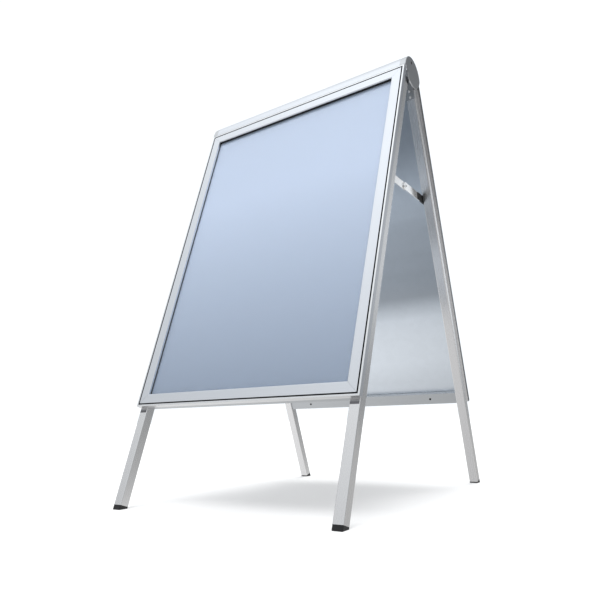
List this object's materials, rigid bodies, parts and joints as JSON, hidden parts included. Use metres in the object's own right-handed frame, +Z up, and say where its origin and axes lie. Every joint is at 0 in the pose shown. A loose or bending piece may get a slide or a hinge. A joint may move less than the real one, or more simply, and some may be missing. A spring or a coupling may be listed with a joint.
{
  "type": "pavement sign",
  "caption": "Free-standing folding A-frame pavement sign with a snap-open poster frame on each side, square tube legs, an arched hinge header and folding stays.",
  "frame": {"origin": "On the floor, midway between the four feet and under the hinge line.", "axes": "+X across the sign to the right as seen from the front poster, -Y is the way the front poster faces, +Z up."},
  "size_m": [0.6436, 0.8256, 1.117],
  "materials": {
    "snap_profile": "satin silver anodised",
    "leg_tube": "satin silver anodised",
    "header_profile": "satin silver anodised",
    "stay_strip": "mill finish",
    "cap_plastic": "fine-grained grey moulding",
    "black_plastic": "matt black moulding",
    "key_plastic": "matt dark moulding",
    "spring_steel": "bright strip",
    "galvanised_steel": "galvanised sheet",
    "poster_paper": "blank pale blue paper",
    "clear_plastic": "clear anti-glare sheet",
    "fastener_steel": "zinc plated"
  },
  "bodies": {
    "front_leaf": {"front_top_rail": "snap_profile", "front_bottom_rail": "snap_profile", "front_left_rail": "snap_profile", "front_right_rail": "snap_profile", "front_corner_keys": "key_plastic", "front_flap_springs": "spring_steel", "front_back_panel": "galvanised_steel", "front_poster": "poster_paper", "front_clear_sheet": "clear_plastic", "front_left_leg": "leg_tube", "front_right_leg": "leg_tube", "front_left_foot": "black_plastic", "front_right_foot": "black_plastic", "front_crossbar": "leg_tube", "front_leg_screws": "fastener_steel", "front_crossbar_screws": "fastener_steel", "front_hinge_leaves": "fastener_steel", "front_hinge_rivets": "fastener_steel", "front_stay_pins": "fastener_steel", "hinge_pins": "fastener_steel", "header": "header_profile", "header_left_cap": "cap_plastic", "header_right_cap": "cap_plastic", "header_screws": "fastener_steel"},
    "rear_leaf": {"rear_top_rail": "snap_profile", "rear_bottom_rail": "snap_profile", "rear_left_rail": "snap_profile", "rear_right_rail": "snap_profile", "rear_corner_keys": "key_plastic", "rear_flap_springs": "spring_steel", "rear_back_panel": "galvanised_steel", "rear_poster": "poster_paper", "rear_clear_sheet": "clear_plastic", "rear_left_leg": "leg_tube", "rear_right_leg": "leg_tube", "rear_left_foot": "black_plastic", "rear_right_foot": "black_plastic", "rear_crossbar": "leg_tube", "rear_leg_screws": "fastener_steel", "rear_crossbar_screws": "fastener_steel", "rear_hinge_leaves": "fastener_steel", "rear_hinge_rivets": "fastener_steel", "rear_stay_pins": "fastener_steel"},
    "front_bottom_flap": {"front_bottom_flap": "snap_profile"},
    "front_right_flap": {"front_right_flap": "snap_profile"},
    "front_top_flap": {"front_top_flap": "snap_profile"},
    "front_left_flap": {"front_left_flap": "snap_profile"},
    "front_left_stay": {"front_left_stay_bar": "stay_strip", "front_left_stay_end": "black_plastic"},
    "front_right_stay": {"front_right_stay_bar": "stay_strip", "front_right_stay_end": "black_plastic"},
    "rear_bottom_flap": {"rear_bottom_flap": "snap_profile"},
    "rear_left_flap": {"rear_left_flap": "snap_profile"},
    "rear_top_flap": {"rear_top_flap": "snap_profile"},
    "rear_right_flap": {"rear_right_flap": "snap_profile"},
    "rear_left_stay": {"rear_left_stay_bar": "stay_strip", "rear_left_stay_end": "black_plastic"},
    "rear_right_stay": {"rear_right_stay_bar": "stay_strip", "rear_right_stay_end": "black_plastic"}
  },
  "joints": [
    {"name": "fold", "type": "hinge", "parent": "front_leaf", "child": "rear_leaf", "pos_m": [0, 0, 1.08499], "axis": [1, 0, 0], "range_deg": [-39, 0]},
    {"name": "front_bottom_flap_hinge", "type": "hinge", "parent": "front_leaf", "child": "front_bottom_flap", "pos_m": [0, -0.33073, 0.2544], "axis": [1, 0, 0], "range_deg": [0, 85]},
    {"name": "front_right_flap_hinge", "type": "hinge", "parent": "front_leaf", "child": "front_right_flap", "pos_m": [0.30735, -0.18691, 0.66054], "axis": [0, 0.3338, 0.9426], "range_deg": [0, 85]},
    {"name": "front_top_flap_hinge", "type": "hinge", "parent": "front_leaf", "child": "front_top_flap", "pos_m": [0, -0.04309, 1.06667], "axis": [-1, 0, 0], "range_deg": [0, 85]},
    {"name": "front_left_flap_hinge", "type": "hinge", "parent": "front_leaf", "child": "front_left_flap", "pos_m": [-0.30735, -0.18691, 0.66054], "axis": [0, -0.3338, -0.9426], "range_deg": [0, 85]},
    {"name": "front_left_stay_pivot", "type": "hinge", "parent": "front_leaf", "child": "front_left_stay", "pos_m": [-0.2875, -0.12055, 0.78503], "axis": [1, 0, 0], "range_deg": [0, 64.1]},
    {"name": "front_right_stay_pivot", "type": "hinge", "parent": "front_leaf", "child": "front_right_stay", "pos_m": [0.2875, -0.12055, 0.78503], "axis": [1, 0, 0], "range_deg": [0, 64.1]},
    {"name": "rear_bottom_flap_hinge", "type": "hinge", "parent": "rear_leaf", "child": "rear_bottom_flap", "pos_m": [0, 0.33073, 0.2544], "axis": [-1, 0, 0], "range_deg": [0, 85]},
    {"name": "rear_left_flap_hinge", "type": "hinge", "parent": "rear_leaf", "child": "rear_left_flap", "pos_m": [-0.30735, 0.18691, 0.66054], "axis": [0, -0.3338, 0.9426], "range_deg": [0, 85]},
    {"name": "rear_top_flap_hinge", "type": "hinge", "parent": "rear_leaf", "child": "rear_top_flap", "pos_m": [0, 0.04309, 1.06667], "axis": [1, 0, 0], "range_deg": [0, 85]},
    {"name": "rear_right_flap_hinge", "type": "hinge", "parent": "rear_leaf", "child": "rear_right_flap", "pos_m": [0.30735, 0.18691, 0.66054], "axis": [0, 0.3338, -0.9426], "range_deg": [0, 85]},
    {"name": "rear_left_stay_pivot", "type": "hinge", "parent": "rear_leaf", "child": "rear_left_stay", "pos_m": [-0.2875, 0.12055, 0.78503], "axis": [1, 0, 0], "range_deg": [-64.1, 0]},
    {"name": "rear_right_stay_pivot", "type": "hinge", "parent": "rear_leaf", "child": "rear_right_stay", "pos_m": [0.2875, 0.12055, 0.78503], "axis": [1, 0, 0], "range_deg": [-64.1, 0]}
  ],
  "couplings": [
    {"joint": "front_left_stay_pivot", "follows": "fold", "ratio": -1.6428},
    {"joint": "front_right_stay_pivot", "follows": "fold", "ratio": -1.6428},
    {"joint": "rear_left_stay_pivot", "follows": "fold", "ratio": 1.6428},
    {"joint": "rear_right_stay_pivot", "follows": "fold", "ratio": 1.6428}
  ]
}
